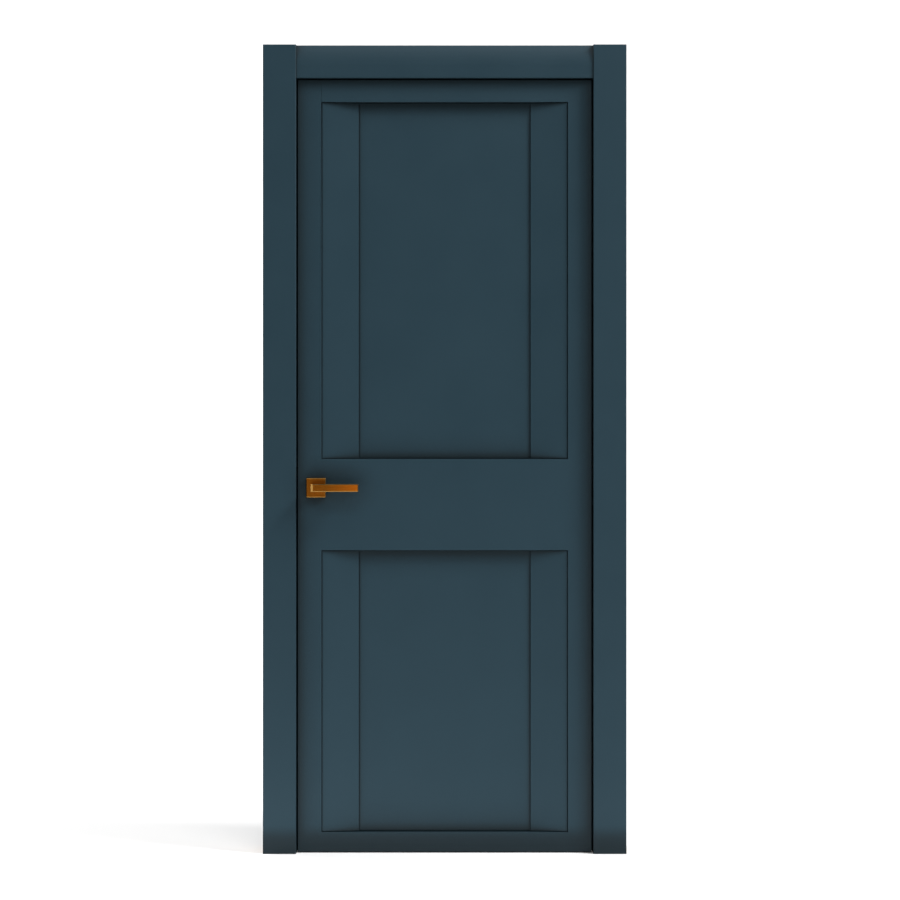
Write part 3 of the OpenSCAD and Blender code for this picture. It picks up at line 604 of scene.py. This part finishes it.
# %% Groove the panels
GROOVE_W, GROOVE_DEEP, FACES_OUT = 0.0022, 0.003, 0.9
strip_inner = min(abs(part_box("front_upper_hinge_strip")[i].x) for i in (0, 1))
for panel_name, strip_name in (
    ("upper_panel", "front_upper_hinge_strip"),
    ("lower_panel", "front_lower_hinge_strip"),
):
    panel_shape = welded_copy(nodes[panel_name].data)
    bottom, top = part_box(strip_name)[0].z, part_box(strip_name)[1].z
    cuts = [((side * strip_inner, 0, 0), (1, 0, 0)) for side in (-1, 1)]
    cuts += [((0, 0, level), (0, 0, 1)) for level in (bottom, top)]
    for point, normal in cuts:
        everything = panel_shape.verts[:] + panel_shape.edges[:] + panel_shape.faces[:]
        bmesh.ops.bisect_plane(panel_shape, geom=everything, plane_co=point, plane_no=normal)
    for face_side in (-1, 1):
        field = [
            f
            for f in panel_shape.faces
            if f.normal.y * face_side > FACES_OUT
            and abs(f.calc_center_median().x) < strip_inner
            and bottom < f.calc_center_median().z < top
        ]
        ring = bmesh.ops.inset_region(panel_shape, faces=field, thickness=GROOVE_W)["faces"]
        pushed = bmesh.ops.extrude_face_region(panel_shape, geom=ring)["geom"]
        bmesh.ops.delete(panel_shape, geom=ring, context="FACES_ONLY")
        floor_verts = [part for part in pushed if isinstance(part, bmesh.types.BMVert)]
        bmesh.ops.translate(panel_shape, verts=floor_verts, vec=(0, -face_side * GROOVE_DEEP, 0))
    bmesh.ops.recalc_face_normals(panel_shape, faces=panel_shape.faces[:])
    hang(panel_shape, panel_name + "_grooved", "leaf", enamel, [panel_name])
    print(panel_name, "grooved round", round(2 * strip_inner, 3), "x", round(top - bottom, 3), "m")

# %% [markdown]
# ## Handles, plates and hinges
# A lever and its rosette are machined with a narrow bevel, and polishing rounds it into a soft line
# of light. The forend, the strike plate, the latch bolt and the hinge bodies are stamped or cast,
# with smaller rounded edges. The bevels are in the solids already, so only the last sharpness goes.

# %% Soften the metal pieces
BODY_OF = {n: body for body, names in frame["record"]["behaviour"]["bodies"].items() for n in names}
HINGE_BODIES = [n for n in nodes if n.endswith(("_jamb_hinge", "_leaf_hinge"))]
# Nodes, finish, finish with a painted highlight for the edges, slot, width of the rounding in
# metres
METAL_PIECES = [
    (["front_lever", "back_lever"], bronze, bronze_edge_highlight, "bronze", 0.0008),
    (["front_rosette_cover", "back_rosette_cover"], bronze, bronze_edge_highlight, "bronze", 0.0008),
    (["lock_forend", "strike_plate"], bronze_dark, None, "bronze", 0.00025),
    (["latch_bolt"], zinc, None, "lock_steel", 0.0003),
    (HINGE_BODIES, hinge_black, None, "hinge_steel", 0.0003),
]
for names, material, edge_highlight_material, slot, width in METAL_PIECES:
    for name in names:
        shape = welded_copy(nodes[name].data)
        soften(shape, sharp_edges(shape, least_angle=25), width, segments=3)
        piece_name, body = name + "_finished", BODY_OF[name]
        hang(shape, piece_name, body, material, [name], edge_highlight_material=edge_highlight_material)
    print("softened:", ", ".join(names))

# %% [markdown]
# ## Screws
# Screw heads show when the door stands open: each has a six-lobed socket. One head is turned from
# a profile with spin, its inner rim is pulled into lobes, and the rim is pushed in and closed. It
# is then set on the place and direction that each solid screw has.

# %% Turn the screws
LOBES, TURN_STEPS = 6, 36
# The socket's radius and the rim's easing as shares of the head's radius, the tip's radius as a
# share of the shank's, and the socket's depth as a share of the head's height
SOCKET_R, RIM_EASE, TIP_R, SOCKET_DEEP = 0.5, 0.12, 0.1, 0.75
# The lobes' middle radius and how far they swing from it, as shares of the socket's radius
LOBE_R, LOBE_SWING = 0.9, 0.14
# A point at this share of the head's radius, or more, is on the head
ON_HEAD = 0.95


def turned_screw(head_r, head_h, shank_r, length):
    """A screw along +x with its head's face at x = 0."""
    shape = bmesh.new()
    rim_r, ease = SOCKET_R * head_r, RIM_EASE * head_r
    profile = [
        (0, rim_r),
        (0, head_r - ease),
        (ease, head_r),
        (head_h, head_r),
        (head_h, shank_r),
        (length - shank_r, shank_r),
        (length, TIP_R * shank_r),
    ]
    line = [shape.verts.new((x, r, 0)) for x, r in profile]
    edges = [shape.edges.new(pair) for pair in zip(line, line[1:])]
    bmesh.ops.spin(
        shape,
        geom=line + edges,
        cent=(0, 0, 0),
        axis=(1, 0, 0),
        angle=2 * math.pi,
        steps=TURN_STEPS,
        use_merge=True,
    )
    rims = [e for e in shape.edges if e.is_boundary]
    socket = [e for e in rims if e.verts[0].co.x < length / 2]
    tip = [e for e in rims if e.verts[0].co.x > length / 2]
    for v in {v for e in socket for v in e.verts}:
        turn = math.atan2(v.co.z, v.co.y)
        reach = rim_r * (LOBE_R + LOBE_SWING * math.cos(LOBES * turn))
        v.co = (v.co.x, reach * math.cos(turn), reach * math.sin(turn))
    floor_rim = bmesh.ops.extrude_edge_only(shape, edges=socket)["geom"]
    floor_verts = [p for p in floor_rim if isinstance(p, bmesh.types.BMVert)]
    floor_edges = [p for p in floor_rim if isinstance(p, bmesh.types.BMEdge)]
    bmesh.ops.translate(shape, verts=floor_verts, vec=(SOCKET_DEEP * head_h, 0, 0))
    bmesh.ops.edgeloop_fill(shape, edges=floor_edges)
    bmesh.ops.edgeloop_fill(shape, edges=tip)
    bmesh.ops.recalc_face_normals(shape, faces=shape.faces[:])
    return shape


def loose_solids(shape):
    """The separate solids of a bmesh, as lists of their vertices."""
    waiting, solids = set(shape.verts), []
    while waiting:
        found, front = set(), [waiting.pop()]
        while front:
            v = front.pop()
            found.add(v)
            near = {e.other_vert(v) for e in v.link_edges} & waiting
            waiting -= near
            front += near
        solids.append(sorted(found, key=lambda v: tuple(v.co)))
    return sorted(solids, key=lambda verts: tuple(verts[0].co))


def screw_set(name, material):
    """Stands turned screws where a node's solid screws are."""
    solid_shape = welded_copy(nodes[name].data)
    every = bmesh.new()
    count = 0
    for verts in loose_solids(solid_shape):
        low = Vector([min(v.co[i] for v in verts) for i in range(3)])
        high = Vector([max(v.co[i] for v in verts) for i in range(3)])
        middle, long_way = (low + high) / 2, max(range(3), key=lambda i: (high - low)[i])
        ends = {}
        for end in (low, high):
            near = [v.co for v in verts if abs(v.co[long_way] - end[long_way]) < SAME_PLACE]
            ends[end[long_way]] = max((co - middle)[(long_way + 1) % 3] for co in near)
        head_at = max(ends, key=ends.get)
        direction = Vector((0, 0, 0))
        direction[long_way] = 1 if head_at == low[long_way] else -1
        start = middle.copy()
        start[long_way] = head_at
        reach = sorted(
            abs(v.co[long_way] - head_at)
            for v in verts
            if (v.co - middle)[(long_way + 1) % 3] > ON_HEAD * ends[head_at]
        )[-1]
        screw = turned_screw(ends[head_at], reach, min(ends.values()), (high - low)[long_way])
        turn = Vector((1, 0, 0)).rotation_difference(direction).to_matrix().to_4x4()
        bmesh.ops.transform(screw, matrix=Matrix.Translation(start) @ turn, verts=screw.verts[:])
        one = bpy.data.meshes.new("one_screw")
        screw.to_mesh(one)
        screw.free()
        every.from_mesh(one)
        bpy.data.meshes.remove(one)
        count += 1
    solid_shape.free()
    hang(every, name + "_turned", BODY_OF[name], material, [name], smooth_angle=30)
    return count


for name, material, slot in (
    ("jamb_hinge_screws", hinge_black, "hinge_steel"),
    ("leaf_hinge_screws", hinge_black, "hinge_steel"),
    ("strike_screws", bronze_dark, "bronze"),
    ("lock_screws", bronze_dark, "bronze"),
    ("jamb_corner_screws", zinc, "lock_steel"),
):
    print(name, "turned:", screw_set(name, material))

# %% [markdown]
# ## Finishes for the solids that stay
# The other solids have the right shape already. Each gets the finish that its record slot names,
# and the frame's boards get the enamel that turns to bare fibreboard where nobody sees it.

# %% Paint the remaining solids
SLOT_FINISH = {
    "enamel": enamel,
    "bronze": bronze,
    "hinge_steel": hinge_black,
    "lock_steel": zinc,
    "seal_rubber": rubber,
    "box_plastic": plastic,
}
SLOT_OF = {row["node"]: row["material_slot"] for row in frame["record"]["subparts"]}
for name, solid in nodes.items():
    finish = SLOT_FINISH[SLOT_OF[name]]
    if finish is enamel and BODY_OF[name] == "frame":
        finish = enamel_frame
    solid.data.materials.clear()
    solid.data.materials.append(finish)
print("finishes given to", len(nodes), "solids")
